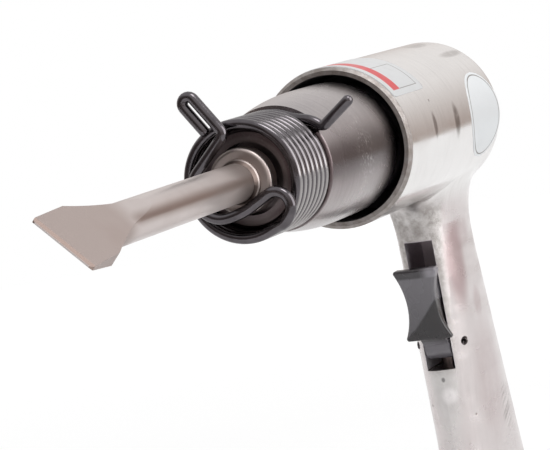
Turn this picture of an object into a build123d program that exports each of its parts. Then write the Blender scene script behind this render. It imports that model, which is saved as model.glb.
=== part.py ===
"""Air hammer: pistol-grip housing, hammer barrel, bent-wire chisel retainer, flat chisel and throttle."""
from build123d import *

import math
import os

import numpy

os.makedirs("parts", exist_ok=True)

# Frame: origin at the mouth of the air inlet, +X along the barrel towards the chisel, +Z up.
# All sizes are millimetres. Places along the barrel run from the housing's front rim, forward positive.

# Overall places
barrel_height = 124.0
inlet_to_rim = 71.5

# Clearances
sliding_gap = 0.08
seat_gap = 0.05
free_gap = 0.3
contact_gap = 0.1

# Housing
housing_radius = 23.0
case_behind = 17.5
dome_depth = 10.3
rim_wall = 2.2
rim_bevel = 0.9
exhaust_depth = 26.0
thread_step = 3.3
thread_length = 22.0
chamber_step = 1.5

# Handle, its edges given at grip_drop below the case and leaning with height
grip_drop = 32.0
grip_front = 18.4
grip_front_lean = 0.059
grip_back = -17.8
grip_back_lean = 0.241
grip_half_width = 9.75
grip_bluntness = 2.5
grip_points = 32
grip_slices = 12
butt_half_width = 11.2
butt_front_step = 0.5
butt_back_step = 3.2
butt_height = 27.0
neck_below = 14.0
neck_above = 13.0
neck_front_swell = 3.6
neck_back_swell = 6.5
neck_round = 8.0
base_round = 2.0

# Trigger slot in the handle
slot_width = 9.0
slot_headroom = 7.3
slot_depth = 13.2
hub_room = 3.15
heel_room = 1.2
heel_pocket_height = 16.0

# Barrel
nose_length = 60.3
nose_radius = 13.2
nose_bevel = 0.9
mouth_side_gap = 0.83
mouth_depth = 4.0
bore_radius = 9.5
bore_front = 24.0
rim_gap = 1.9
flare_rise = 2.3
flare_run = 13.5
flare_back = 1.2
flare_blend_share = 0.88
flare_edge_round = 0.9
shoulder_room = 0.47
channel_open = 3.5
channel_start_angle = -15.0
channel_end_angle = 31.0
neck_relief = 0.5
barrel_collar_gap = 0.8
barrel_collar_thickness = 4.0
barrel_seal_thickness = 1.0
pilot_length = 7.0
port_count = 6
port_radius = 2.2
port_lead = 0.8

# Piston
piston_length = 36.0
piston_groove = 0.6
piston_groove_length = 4.0
piston_bevel = 1.0
piston_rear_gap = 0.5

# Valve box behind the barrel
valve_front_thickness = 6.0
valve_rear_thickness = 10.0
valve_flange = 4.0
valve_air_room = 4.0
plate_radius = 9.0
plate_thickness = 1.0
plate_room = 0.4
valve_port_radius = 4.0
feed_hole_radius = 1.4
feed_hole_circle = 5.5
feed_hole_count = 6
dowel_radius = 1.25
dowel_in_barrel = 5.0
dowel_in_rear = 3.0
rear_gasket_thickness = 1.0
rear_gasket_width = 2.6

# Retaining spring: one bent wire, coil on the barrel's nose
wire_radius = 1.25
turn_gap = 0.48
coil_turns = 7
coil_lead = 3.2
coil_start_angle = -70.0
coil_end_angle = 66.0
clip_room = 1.45
clip_side_room = 1.13
ear_lean = 34.75
ear_foot_y = -5.86
ear_foot_z = 13.85
ear_leg = 8.45
ear_bend = 1.8
ear_return = 10.5
ear_turn = 80.9
clip_straight = 11.07
clip_loop_turn = 142.9
clip_rise_radius = 22.0
clip_rise_turn = 21.4
clip_run = 5.1
crest_radius = 3.95
crest_turn = 143.5
tail_setback = 0.3
tail_corner_rise = 3.6
tail_corner_angle = 31.2
tail_heading_in = -40.0
tail_heading_out = 36.0
tail_bend = 1.6
tail_length = 9.6

# Chisel
chisel_reach = 97.2
shank_radius = 5.05
shank_length = 34.8
shank_bevel = 1.0
collar_room = 6.0
collar_length = 4.0
collar_radius = 8.77
collar_round = 1.0
step_radius = 5.95
step_length = 0.8
step_taper = 1.5
body_radius = 5.1
flat_lead = 3.4
fan_length = 23.3
fan_lead = 0.15
blade_length = 12.2
blade_half_width = 8.6
edge_half_width = 8.9
blade_corner = 1.2
blade_roll = -44.0
bevel_length = 1.2
bevel_half_thickness = 0.65
edge_half_thickness = 0.2

# Trigger
pivot_forward = 12.6
pivot_height = 56.0
trigger_side_gap = 0.5
trigger_height = 25.2
hub_radius = 4.6
heel_radius = 2.5
pad_top_reach = 14.0
pad_waist_reach = 12.0
pad_bottom_reach = 9.8
pad_bottom = 2.8
pad_thickness = 4.0
pad_top_half_width = 7.4
pad_waist_half_width = 4.7
pad_bottom_half_width = 7.9
pad_waist_height = 14.0
pad_round = 0.8
pin_radius = 1.35
pin_wall = 0.6
pin_slit = 0.6
pin_recess = 0.5
pin_shift = 0.35

# Throttle valve on the inlet's axis, heights from the inlet mouth
hex_height = 4.0
hex_across_flats = 19.0
inlet_gasket_thickness = 1.0
inlet_gasket_width = 1.3
inlet_thread_radius = 8.0
inlet_thread_length = 11.5
inlet_bore_radius = 5.6
inlet_bore_depth = 11.5
strainer_flange = 0.6
strainer_seat_step = 0.4
strainer_radius = 4.5
strainer_wall = 0.5
strainer_sink = 0.2
strainer_hole_radius = 0.55
strainer_hole_circle = 2.4
strainer_hole_count = 8
throttle_spring_length = 9.4
throttle_wire_radius = 0.45
throttle_pilot_gap = 0.55
throttle_coil_turns = 4
poppet_radius = 5.0
poppet_thickness = 2.5
poppet_pilot_radius = 2.6
poppet_pilot_length = 2.5
poppet_seal_thickness = 1.5
seat_bore_radius = 3.4
seat_thickness = 2.0
bush_radius = 6.5
bush_length = 14.2
bush_cavity_radius = 4.2
bush_guide_length = 5.7
bush_groove = 0.9
window_radius = 2.4
window_lift = 0.6
window_count = 4
stem_radius = 2.0
stem_seal_radius = 0.9

# Air passage from the throttle up to the valve box
passage_radius = 3.0
passage_foot_back = 15.5
cross_passage_radius = 2.6

# Worked-out places
rim_x = inlet_to_rim
barrel_axis = Axis((0, 0, barrel_height), (1, 0, 0))
case_underside = barrel_height - housing_radius
grip_middle = case_underside - grip_drop
rim_bore_radius = housing_radius - rim_wall
thread_radius = rim_bore_radius - thread_step
chamber_radius = thread_radius - chamber_step
dowel_circle = (bore_radius + chamber_radius) / 2
valve_neck_radius = chamber_radius - valve_air_room
thread_start = -exhaust_depth
thread_end = thread_start - thread_length
barrel_end = thread_end - pilot_length
valve_split = barrel_end - valve_front_thickness
valve_end = valve_split - valve_rear_thickness
chamber_end = valve_end - rear_gasket_thickness
mouth_seat = nose_length - mouth_depth
mouth_radius = collar_radius + mouth_side_gap
collar_back = mouth_seat + collar_room
collar_front = collar_back + collar_length
chisel_tip = collar_front + chisel_reach
blade_shoulder = chisel_tip - blade_length
fan_start = blade_shoulder - fan_length
blade_start = fan_start - flat_lead
bevel_start = chisel_tip - bevel_length
coil_radius = nose_radius + free_gap + wire_radius
coil_pitch = 2 * wire_radius + turn_gap
coil_front = nose_length + coil_lead
last_turn = coil_front - coil_pitch * (coil_turns - 1)
clip_plane = collar_front + clip_room + wire_radius
clip_loop_radius = body_radius + clip_side_room + wire_radius
flare_start = last_turn - wire_radius - shoulder_room
flare_full = flare_start - flare_run
flare_radius = rim_bore_radius - rim_gap
flare_slope = math.atan2(flare_rise, flare_run)
flare_blend = flare_blend_share * flare_run / math.tan(flare_slope / 2)
base_height = hex_height + inlet_gasket_thickness
bushing_top = base_height + inlet_thread_length
strainer_seat_radius = inlet_bore_radius - strainer_seat_step
poppet_bottom = bushing_top + throttle_spring_length
poppet_top = poppet_bottom + poppet_thickness
seat_height = poppet_top + poppet_seal_thickness + contact_gap
bush_top = seat_height + bush_length
window_height = seat_height + seat_thickness + window_lift + window_radius
slot_floor = pivot_height - hub_radius - hub_room
slot_top = pivot_height + trigger_height + slot_headroom
stem_top = pivot_height - heel_radius - contact_gap
heel_pocket_back = -(heel_radius + heel_room)


def turned(*profile):
    """Revolves (place from the rim, radius) points about the barrel's axis."""
    points = [(rim_x + x, 0, barrel_height + r) for x, r in profile]
    return revolve(make_face(Polyline(*points, close=True)), barrel_axis)


def upright(*profile):
    """Revolves (radius, height) points about the inlet's axis."""
    points = [(r, 0, z) for r, z in profile]
    return revolve(make_face(Polyline(*points, close=True)), Axis.Z)


def tube_x(outer, inner, back, front):
    """A ring about the barrel's axis."""
    return turned((back, inner), (back, outer), (front, outer), (front, inner))


def ring_edges(solid, radius, place):
    """Round edges of a turned piece with this radius at this place."""
    rings = [edge for edge in solid.edges().filter_by(GeomType.CIRCLE) if abs(edge.radius - radius) < 0.01]
    return [ring for ring in rings if abs(ring.center().X - rim_x - place) < 0.01]


def rod(start, end, radius):
    """A round bar between two points."""
    along = Vector(*end) - Vector(*start)
    return extrude(Plane(start, z_dir=along) * Circle(radius), along.length)


def post(radius, bottom, top):
    """A round bar on the inlet's axis."""
    return upright((0, bottom), (radius, bottom), (radius, top), (0, top))


def pin_bar(radius, half_length):
    """A round bar along the trigger's pivot."""
    right = (pivot_forward, -half_length, pivot_height)
    left = (pivot_forward, half_length, pivot_height)
    return rod(right, left, radius)


def pattern_x(count, circle, radius, back, front, first_angle=0.0):
    """Round bars parallel to the barrel's axis, evenly spaced on a circle."""
    bars = []
    for index in range(count):
        angle = math.radians(first_angle + 360.0 * index / count)
        y = circle * math.cos(angle)
        z = barrel_height + circle * math.sin(angle)
        bars.append(rod((rim_x + back, y, z), (rim_x + front, y, z), radius))
    return bars


def grip_front_edge(height):
    return grip_front + grip_front_lean * (height - grip_middle)


def grip_back_edge(height):
    return grip_back + grip_back_lean * (height - grip_middle)


def blunt(share):
    """A sine or cosine pulled outwards, so that an oval gets blunt corners."""
    return math.copysign(abs(share) ** (2 / grip_bluntness), share)


def grip_section(height, half_width, front_step=0.0, back_step=0.0):
    """One slice of the handle, an oval with blunt corners."""
    front = grip_front_edge(height) + front_step
    back = grip_back_edge(height) + back_step
    middle = (front + back) / 2
    points = []
    for index in range(grip_points):
        angle = 2 * math.pi * index / grip_points
        forward = (front - back) / 2 * blunt(math.cos(angle))
        points.append((middle + forward, half_width * blunt(math.sin(angle)), height))
    return make_face(Spline(*points, periodic=True))


def pin_half_length():
    """From the handle's middle to just inside its flank at the trigger's pivot."""
    front = grip_front_edge(pivot_height)
    back = grip_back_edge(pivot_height)
    share = (2 * pivot_forward - front - back) / (front - back)
    return grip_half_width * (1 - abs(share) ** grip_bluntness) ** (1 / grip_bluntness) - pin_recess


def make_handle():
    """The pistol handle, oval all the way and swelling into the housing at its neck."""
    case_half_width = math.sqrt(housing_radius**2 - (housing_radius - neck_above) ** 2)
    side_swell = case_half_width - free_gap - grip_half_width
    neck_foot = case_underside - neck_below
    neck_top = case_underside + neck_above
    slices = []
    for index in range(grip_slices):
        height = base_height + (neck_top - base_height) * index / (grip_slices - 1)
        butt = max(0.0, (butt_height - height) / (butt_height - base_height)) ** 2
        neck = max(0.0, (height - neck_foot) / (neck_top - neck_foot))
        half_width = grip_half_width + (butt_half_width - grip_half_width) * butt + side_swell * neck**2.3
        front_step = butt_front_step * butt + neck_front_swell * neck**2.5
        back_step = butt_back_step * butt - neck_back_swell * neck**1.3
        slices.append(grip_section(height, half_width, front_step, back_step))
    handle = loft(slices)
    return fillet(handle.edges().group_by(Axis.Z)[0], base_round)


def make_case():
    """The round body with its domed back."""
    back = dome_depth - case_behind
    top = barrel_height + housing_radius
    straight = Polyline(
        (back - dome_depth, 0, barrel_height),
        (rim_x, 0, barrel_height),
        (rim_x, 0, top - rim_bevel),
        (rim_x - rim_bevel, 0, top),
        (back, 0, top),
    )
    dome = Plane.XZ * EllipticalCenterArc((back, barrel_height), dome_depth, housing_radius, 90, arc_size=90)
    return revolve(make_face([straight, dome]), barrel_axis)


def make_casting():
    """Case and handle in one, rounded where they meet; one half is made and mirrored."""
    half = split(make_case() + make_handle(), Plane.XZ, keep=Keep.TOP)
    seam = [
        edge
        for edge in half.edges().filter_by(GeomType.BSPLINE)
        if case_underside - neck_round < edge.center().Z < barrel_height and abs(edge.center().Y) > free_gap
    ]
    half = fillet(seam, neck_round)
    return half + mirror(half, about=Plane.XZ)


def make_trigger_pocket():
    """The slot in the handle's front, deeper below where the trigger's heel works the throttle."""
    mouth = grip_front_edge(slot_top) + free_gap
    back = grip_front_edge(slot_floor) - slot_depth
    upper = Pos(back, 0, slot_floor) * Box(
        mouth - back, slot_width, slot_top - slot_floor, align=(Align.MIN, Align.CENTER, Align.MIN)
    )
    lower = Pos(heel_pocket_back, 0, slot_floor) * Box(
        mouth - heel_pocket_back, slot_width, heel_pocket_height, align=(Align.MIN, Align.CENTER, Align.MIN)
    )
    return upper + lower


def make_air_passages():
    """The way from the throttle's windows back and up to the valve box."""
    foot = (-passage_foot_back, 0, window_height)
    ring_middle = rim_x + valve_split - valve_flange - (valve_rear_thickness - valve_flange) / 2
    head = (ring_middle, 0, barrel_height - (chamber_radius + valve_neck_radius) / 2)
    up = rod(foot, head, passage_radius)
    across = rod((0, 0, window_height), foot, cross_passage_radius)
    return up + across + Pos(*foot) * Sphere(passage_radius)


def make_housing():
    """Cast body and handle in one piece, bored for the barrel, valve box, trigger and throttle."""
    body = make_casting()
    body -= tube_x(rim_bore_radius, 0, thread_start, 0)
    body -= tube_x(thread_radius, 0, thread_end, thread_start)
    body -= tube_x(chamber_radius, 0, chamber_end, thread_end)
    body -= make_trigger_pocket()
    body -= make_air_passages()
    body -= post(inlet_thread_radius, 0, seat_height)
    body -= post(bush_radius, seat_height, bush_top)
    body -= post(stem_radius + free_gap, seat_height, slot_floor)
    return body - pin_bar(pin_radius, 2 * grip_half_width)


def make_wire_channel():
    """Screw-shaped step in the flare's front, open outwards, that lets the coil's last turn leave."""
    angle = math.radians(channel_start_angle)
    outward = Vector(0, math.cos(angle), math.sin(angle))
    start = Vector(rim_x + last_turn + coil_pitch * channel_start_angle / 360.0, 0, barrel_height)
    turns = (360.0 + channel_start_angle - channel_end_angle) / 360.0
    screw_line = Helix(coil_pitch, coil_pitch * turns, coil_radius)
    path = Plane(start, x_dir=outward, z_dir=(-1, 0, 0)) * screw_line
    back = -wire_radius - free_gap
    floor = coil_radius - wire_radius - free_gap / 2
    top = coil_radius + channel_open
    corners = [(back, floor), (channel_open, floor), (channel_open, top), (back, top)]
    points = [start + Vector(forward, 0, 0) + outward * radius for forward, radius in corners]
    return sweep(make_face(Polyline(*points, close=True)), path, is_frenet=True)


def make_barrel():
    """Hammer barrel: threaded into the housing, flared outside, with the piston bore and shank bore."""
    seal_face = thread_start + barrel_seal_thickness
    collar_front_face = seal_face + barrel_collar_thickness
    collar_edge = rim_bore_radius - barrel_collar_gap
    neck_radius = thread_radius - neck_relief
    shank_bore_radius = shank_radius + sliding_gap
    thread_fit = thread_radius - seat_gap
    pilot_fit = chamber_radius - seat_gap
    barrel = turned(
        (nose_length, mouth_radius),
        (nose_length, nose_radius - nose_bevel),
        (nose_length - nose_bevel, nose_radius),
        (flare_start, nose_radius),
        (flare_start, flare_radius - flare_rise),
        (flare_full, flare_radius),
        (flare_back, flare_radius),
        (flare_back, neck_radius),
        (collar_front_face, neck_radius),
        (collar_front_face, collar_edge),
        (seal_face, collar_edge),
        (seal_face, thread_fit),
        (thread_end, thread_fit),
        (thread_end, pilot_fit),
        (barrel_end, pilot_fit),
        (barrel_end, bore_radius),
        (bore_front, bore_radius),
        (bore_front, shank_bore_radius),
        (mouth_seat, shank_bore_radius),
        (mouth_seat, mouth_radius),
    )
    barrel = fillet(ring_edges(barrel, flare_radius, flare_full), flare_blend)
    barrel = fillet(ring_edges(barrel, flare_radius - flare_rise, flare_start), flare_edge_round)
    barrel -= make_wire_channel()
    for index in range(port_count):
        angle = 2 * math.pi * index / port_count
        centre = (rim_x + collar_front_face + port_lead + port_radius, 0, barrel_height)
        outside = (
            centre[0],
            housing_radius * math.cos(angle),
            barrel_height + housing_radius * math.sin(angle),
        )
        barrel -= rod(centre, outside, port_radius)
    for bar in make_dowel_bars():
        barrel -= bar
    return barrel


def make_dowel_bars():
    """Two bars that line up the barrel and the valve box."""
    back = valve_split - dowel_in_rear
    return pattern_x(2, dowel_circle, dowel_radius, back, barrel_end + dowel_in_barrel, 0.0)


def make_barrel_seal():
    """Flat ring clamped between the barrel's collar and the housing's shoulder."""
    front = thread_start + barrel_seal_thickness
    outer = rim_bore_radius - barrel_collar_gap - seat_gap
    return tube_x(outer, thread_radius + seat_gap, thread_start, front)


def make_piston():
    """Hammer piston with a relief groove, at the back of its stroke."""
    radius = bore_radius - sliding_gap
    back = barrel_end + piston_rear_gap
    front = back + piston_length
    groove_back = (back + front - piston_groove_length) / 2
    groove_front = groove_back + piston_groove_length
    return turned(
        (back, 0),
        (back, radius - piston_bevel),
        (back + piston_bevel, radius),
        (groove_back, radius),
        (groove_back, radius - piston_groove),
        (groove_front, radius - piston_groove),
        (groove_front, radius),
        (front - piston_bevel, radius),
        (front, radius - piston_bevel),
        (front, 0),
    )


def make_valve_front():
    """Front half of the valve box, with the recess that the valve plate flutters in."""
    recess = plate_thickness + 2 * plate_room
    block = turned(
        (barrel_end, valve_port_radius),
        (barrel_end, chamber_radius - seat_gap),
        (valve_split, chamber_radius - seat_gap),
        (valve_split, plate_radius + plate_room),
        (valve_split + recess, plate_radius + plate_room),
        (valve_split + recess, valve_port_radius),
    )
    for bar in make_dowel_bars():
        block -= bar
    return block


def make_valve_plate():
    """Thin steel disc that switches the air, in the middle of its recess."""
    back = valve_split + plate_room
    return tube_x(plate_radius, 0, back, back + plate_thickness)


def make_valve_rear():
    """Rear half of the valve box, necked so that air gets round it, with a ring of feed holes."""
    flange_back = valve_split - valve_flange
    block = turned(
        (valve_split, 0),
        (valve_split, chamber_radius - seat_gap),
        (flange_back, chamber_radius - seat_gap),
        (flange_back, valve_neck_radius),
        (valve_end, valve_neck_radius),
        (valve_end, valve_neck_radius - rear_gasket_width),
        (flange_back, valve_neck_radius - rear_gasket_width),
        (flange_back, 0),
    )
    first = 180.0 / feed_hole_count
    for bar in pattern_x(feed_hole_count, feed_hole_circle, feed_hole_radius, valve_end, valve_split, first):
        block -= bar
    for index in range(feed_hole_count):
        angle = 2 * math.pi * (index + 0.5) / feed_hole_count
        x = rim_x + (flange_back + valve_end) / 2
        outside = (x, chamber_radius * math.cos(angle), barrel_height + chamber_radius * math.sin(angle))
        block -= rod((x, 0, barrel_height), outside, feed_hole_radius)
    for bar in make_dowel_bars():
        block -= bar
    return block


def make_valve_dowels():
    return Compound(children=[bar.solid() for bar in make_dowel_bars()])


def make_rear_gasket():
    """Flat ring behind the valve box."""
    return tube_x(valve_neck_radius, valve_neck_radius - rear_gasket_width, chamber_end, valve_end)


def biarc(start, start_heading, end, end_heading):
    """Two arcs that leave start and reach end along the given headings."""
    chord = end - start
    both = start_heading + end_heading
    bend = 2 * (1 - start_heading.dot(end_heading))
    reach = chord.dot(both)
    length = (math.sqrt(reach**2 + bend * chord.dot(chord)) - reach) / bend
    first = start + start_heading * length
    second = end - end_heading * length
    middle = (first + second) / 2
    return [
        TangentArc(start, middle, tangent=start_heading),
        TangentArc(middle, end, tangent=(second - first).normalized()),
    ]


def helix_point(centre, along, side, radius, pitch, turns):
    """Point and heading of a screw line after so many turns from side."""
    angle = 2 * math.pi * turns
    up = along.cross(side)
    outward = side * math.cos(angle) + up * math.sin(angle)
    round_the_axis = up * math.cos(angle) - side * math.sin(angle)
    point = centre + along * (pitch * turns) + outward * radius
    heading = (along * pitch + round_the_axis * (2 * math.pi * radius)).normalized()
    return point, heading


def winding(centre, along, side, radius, pitch, turns):
    """A screw line of biarcs, about a quarter turn each."""
    steps = max(1, round(abs(turns) * 4))
    stops = [helix_point(centre, along, side, radius, pitch, turns * i / steps) for i in range(steps + 1)]
    arcs = []
    for (start, start_heading), (end, end_heading) in zip(stops, stops[1:]):
        arcs += biarc(start, start_heading, end, end_heading)
    return arcs


class WireBender:
    """Follows a wire as it is fed and bent in one upright plane across the barrel."""

    def __init__(self, place, y, z, heading):
        self.x = rim_x + place
        self.y = y
        self.z = z
        self.heading = math.radians(heading)
        self.edges = []

    def point(self):
        return Vector(self.x, self.y, barrel_height + self.z)

    def direction(self):
        return Vector(0, math.cos(self.heading), math.sin(self.heading))

    def feed(self, length):
        start = self.point()
        self.y += length * math.cos(self.heading)
        self.z += length * math.sin(self.heading)
        self.edges.append(Line(start, self.point()))

    def bend(self, radius, degrees):
        """Turns left for positive degrees, seen from the front."""
        start = self.point()
        tangent = self.direction()
        side = math.copysign(1.0, degrees)
        turn = math.radians(degrees)
        centre_y = self.y - side * radius * math.sin(self.heading)
        centre_z = self.z + side * radius * math.cos(self.heading)
        self.heading += turn
        self.y = centre_y + side * radius * math.sin(self.heading)
        self.z = centre_z - side * radius * math.cos(self.heading)
        self.edges.append(TangentArc(start, self.point(), tangent=tangent))


def make_retaining_path():
    """The wire's centre line from the ear's free foot, round the chisel, through the coil to the tail."""
    front = WireBender(clip_plane, ear_foot_y, ear_foot_z, 90.0 + ear_lean)
    front.feed(ear_leg)
    front.bend(ear_bend, -180.0)
    front.feed(ear_return)
    front.bend(ear_bend, -ear_turn)
    front.feed(clip_straight)
    front.bend(clip_loop_radius, clip_loop_turn)
    front.bend(clip_rise_radius, clip_rise_turn)
    front.feed(clip_run)
    front.bend(crest_radius, -crest_turn)

    along = Vector(-1, 0, 0)
    start_side = Vector(0, math.cos(math.radians(coil_start_angle)), math.sin(math.radians(coil_start_angle)))
    start_place = coil_front + coil_pitch * (360.0 + coil_start_angle) / 360.0
    centre = Vector(rim_x + start_place, 0, barrel_height)
    turns = coil_turns + (360.0 + coil_start_angle - coil_end_angle) / 360.0
    coil_point, coil_heading = helix_point(centre, along, start_side, coil_radius, coil_pitch, 0.0)
    lead_in = biarc(front.point(), front.direction(), coil_point, coil_heading)
    coil = winding(centre, along, start_side, coil_radius, coil_pitch, turns)
    coil_end, coil_end_heading = helix_point(centre, along, start_side, coil_radius, coil_pitch, turns)

    corner = math.radians(tail_heading_out - tail_heading_in)
    run_up = tail_bend * math.tan(corner / 2)
    heading_in = math.radians(tail_heading_in)
    corner_radius = coil_radius + tail_corner_rise
    corner_angle = math.radians(tail_corner_angle)
    tail_y = corner_radius * math.cos(corner_angle) - run_up * math.cos(heading_in)
    tail_z = corner_radius * math.sin(corner_angle) - run_up * math.sin(heading_in)
    tail = WireBender(flare_start - tail_setback, tail_y, tail_z, tail_heading_in)
    lead_out = biarc(coil_end, coil_end_heading, tail.point(), tail.direction())
    tail.bend(tail_bend, math.degrees(corner))
    tail.feed(tail_length)
    return Wire(front.edges + lead_in + coil + lead_out + tail.edges)


def least_gap(path, radius):
    """Smallest distance between two stretches of a wound wire that aren't neighbours along it."""
    step = radius / 3
    count = int(path.length / step)
    points = numpy.array([tuple(path.position_at(i / count)) for i in range(count + 1)])
    skip = int(3 * math.pi * radius / step)
    least = math.inf
    for index in range(len(points) - skip):
        apart = numpy.linalg.norm(points[index + skip :] - points[index], axis=1)
        least = min(least, apart.min())
    return least - 2 * radius


def wire_solid(name, path, radius):
    """A round wire along its path, with its gap and volume printed."""
    section = Plane(path @ 0, z_dir=path % 0) * Circle(radius)
    wire = sweep(section, path)
    share = wire.volume / (math.pi * radius**2 * path.length)
    print(f"{name}: least gap {least_gap(path, radius):.2f}, volume over section times length {share:.4f}")
    return wire


def make_retaining_spring():
    return wire_solid("retaining_spring", make_retaining_path(), wire_radius)


def make_chisel_round():
    """Shank, collar, step and round body."""
    step_front = collar_front + step_length
    shank_end = collar_back - shank_length
    bar = turned(
        (shank_end, 0),
        (shank_end, shank_radius - shank_bevel),
        (shank_end + shank_bevel, shank_radius),
        (collar_back, shank_radius),
        (collar_back, collar_radius),
        (collar_front, collar_radius),
        (collar_front, step_radius),
        (step_front, step_radius),
        (step_front + step_taper, body_radius),
        (blade_shoulder, body_radius),
        (blade_shoulder, 0),
    )
    return fillet(ring_edges(bar, collar_radius, collar_front), collar_round)


def flat_half_thickness(place):
    """Half the blade's thickness at a place along its two flats."""
    share = (place - blade_start) / (bevel_start - blade_start)
    return body_radius + (bevel_half_thickness - body_radius) * share


def make_blade_plan():
    """The blade's outline from above, fanning out of the round body, made thick."""
    neck_half_width = math.sqrt(body_radius**2 - flat_half_thickness(fan_start) ** 2) - contact_gap
    sides = []
    for side in (1, -1):
        neck = (fan_start, side * neck_half_width)
        shoulder = (blade_shoulder, side * blade_half_width)
        edge = (chisel_tip, side * edge_half_width)
        sides.append(TangentArc(neck, shoulder, tangent=(1, side * fan_lead)))
        sides.append(Line(shoulder, edge))
    ends = [
        Line((fan_start, neck_half_width), (fan_start, -neck_half_width)),
        Line((chisel_tip, edge_half_width), (chisel_tip, -edge_half_width)),
    ]
    plan = extrude(make_face(sides + ends), 2 * body_radius, both=True)
    corners = plan.edges().filter_by(Axis.Z).group_by(Axis.X)[-1]
    return fillet(corners, blade_corner)


def make_blade_wedge():
    """The blade's side view: a long taper and a short bevel to the cutting edge."""
    outline = [
        (blade_start, body_radius),
        (bevel_start, bevel_half_thickness),
        (chisel_tip, edge_half_thickness),
    ]
    lower = [(x, -z) for x, z in reversed(outline)]
    face = make_face(Polyline(*(outline + lower), close=True))
    return extrude(Plane.XZ * face, 2 * blade_half_width, both=True)


def make_chisel():
    """Flat chisel on a round shank, its blade rolled about the barrel's axis as it sits."""
    seat = Pos(rim_x, 0, barrel_height) * Rot(blade_roll, 0, 0)
    wedge = make_blade_wedge()
    blade = seat * (make_blade_plan() & wedge)
    taper = tube_x(2 * blade_half_width, 0, blade_start, chisel_tip) - seat * wedge
    return make_chisel_round() - taper + blade


def make_trigger_pad():
    """Finger pad: hollow from above to below and drawn in at its waist."""
    top = (pad_top_reach, trigger_height)
    waist = (pad_waist_reach, pad_waist_height)
    bottom = (pad_bottom_reach, pad_bottom)
    front = ThreePointArc(top, waist, bottom)
    bottom_back = (pad_bottom_reach - pad_thickness / 2, pad_bottom)
    top_back = (pad_top_reach - pad_thickness, trigger_height)
    back = Polyline(bottom, bottom_back, top_back, top)
    side_view = extrude(Plane.XZ * make_face([front, back]), housing_radius, both=True)
    edges = []
    for side in (1, -1):
        edges.append(
            ThreePointArc(
                (side * pad_top_half_width, trigger_height),
                (side * pad_waist_half_width, pad_waist_height),
                (side * pad_bottom_half_width, pad_bottom),
            )
        )
    edges.append(Line((pad_top_half_width, trigger_height), (-pad_top_half_width, trigger_height)))
    edges.append(Line((pad_bottom_half_width, pad_bottom), (-pad_bottom_half_width, pad_bottom)))
    front_view = extrude(Plane.YZ * make_face(edges), housing_radius)
    pad = side_view & front_view
    return fillet(pad.edges(), pad_round)


def make_trigger():
    """Trigger lever: pad, blade in the slot, hub on the pin and heel over the throttle stem."""
    blade = [
        (pad_top_reach - pad_thickness / 2, trigger_height - pad_round),
        (pad_top_reach - 2.5 * pad_thickness, trigger_height - pad_round),
        (-hub_radius + pin_radius, hub_radius),
        (-pivot_forward, heel_radius),
        (-pivot_forward, -heel_radius),
        (-pivot_forward + stem_radius + free_gap, -heel_radius),
        (0, -hub_radius),
        (pad_bottom_reach - pad_thickness / 2, pad_bottom + pad_round),
    ]
    plate = make_face(Polyline(*blade, close=True))
    plate += Circle(hub_radius)
    plate += Pos(-pivot_forward, 0) * Circle(heel_radius)
    plate -= Circle(pin_radius + sliding_gap)
    lever = extrude(Plane.XZ * plate, slot_width / 2 - trigger_side_gap, both=True)
    return Pos(pivot_forward, 0, pivot_height) * (lever + make_trigger_pad())


def make_trigger_pin():
    """Rolled spring pin, open along one side."""
    pin_length = 2 * pin_half_length()
    pin = Cylinder(pin_radius, pin_length) - Cylinder(pin_radius - pin_wall, pin_length)
    pin -= Pos(-pin_radius, 0, 0) * Box(2 * pin_radius, pin_slit, pin_length)
    return Pos(pivot_forward, -pin_shift, pivot_height) * Rot(90, 0, 0) * pin


def make_throttle_bush():
    """Valve cage: stem guide above, windows in a groove, and the seat below."""
    cavity_top = bush_top - bush_guide_length
    seal_room = 2 * stem_seal_radius
    bush = upright(
        (seat_bore_radius, seat_height),
        (bush_radius - seat_gap, seat_height),
        (bush_radius - seat_gap, seat_height + seat_thickness),
        (bush_radius - bush_groove, seat_height + seat_thickness),
        (bush_radius - bush_groove, cavity_top),
        (bush_radius - seat_gap, cavity_top),
        (bush_radius - seat_gap, bush_top),
        (stem_radius + seal_room + seat_gap, bush_top),
        (stem_radius + seal_room + seat_gap, bush_top - seal_room),
        (stem_radius + sliding_gap, bush_top - seal_room),
        (stem_radius + sliding_gap, cavity_top),
        (bush_cavity_radius, cavity_top),
        (bush_cavity_radius, seat_height + seat_thickness),
        (seat_bore_radius, seat_height + seat_thickness),
    )
    for index in range(window_count):
        angle = 2 * math.pi * index / window_count
        outside = (2 * bush_radius * math.cos(angle), 2 * bush_radius * math.sin(angle), window_height)
        bush -= rod((0, 0, window_height), outside, window_radius)
    return bush


def make_stem_seal():
    """Rubber ring round the stem in the top of the bush."""
    ring_radius = stem_radius + sliding_gap + stem_seal_radius
    return Pos(0, 0, bush_top - stem_seal_radius) * Torus(ring_radius, stem_seal_radius - seat_gap)


def make_throttle_stem():
    """Throttle valve: long stem up to the trigger's heel, poppet head and spring pilot below."""
    pilot_bottom = poppet_bottom - poppet_pilot_length
    return upright(
        (0, pilot_bottom),
        (poppet_pilot_radius, pilot_bottom),
        (poppet_pilot_radius, poppet_bottom),
        (poppet_radius, poppet_bottom),
        (poppet_radius, poppet_top),
        (stem_radius, poppet_top),
        (stem_radius, stem_top),
        (0, stem_top),
    )


def make_poppet_seal():
    """Rubber washer on the poppet's seating face."""
    top = poppet_top + poppet_seal_thickness
    hole = stem_radius + seat_gap
    return upright((hole, poppet_top), (poppet_radius, poppet_top), (poppet_radius, top), (hole, top))


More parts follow.
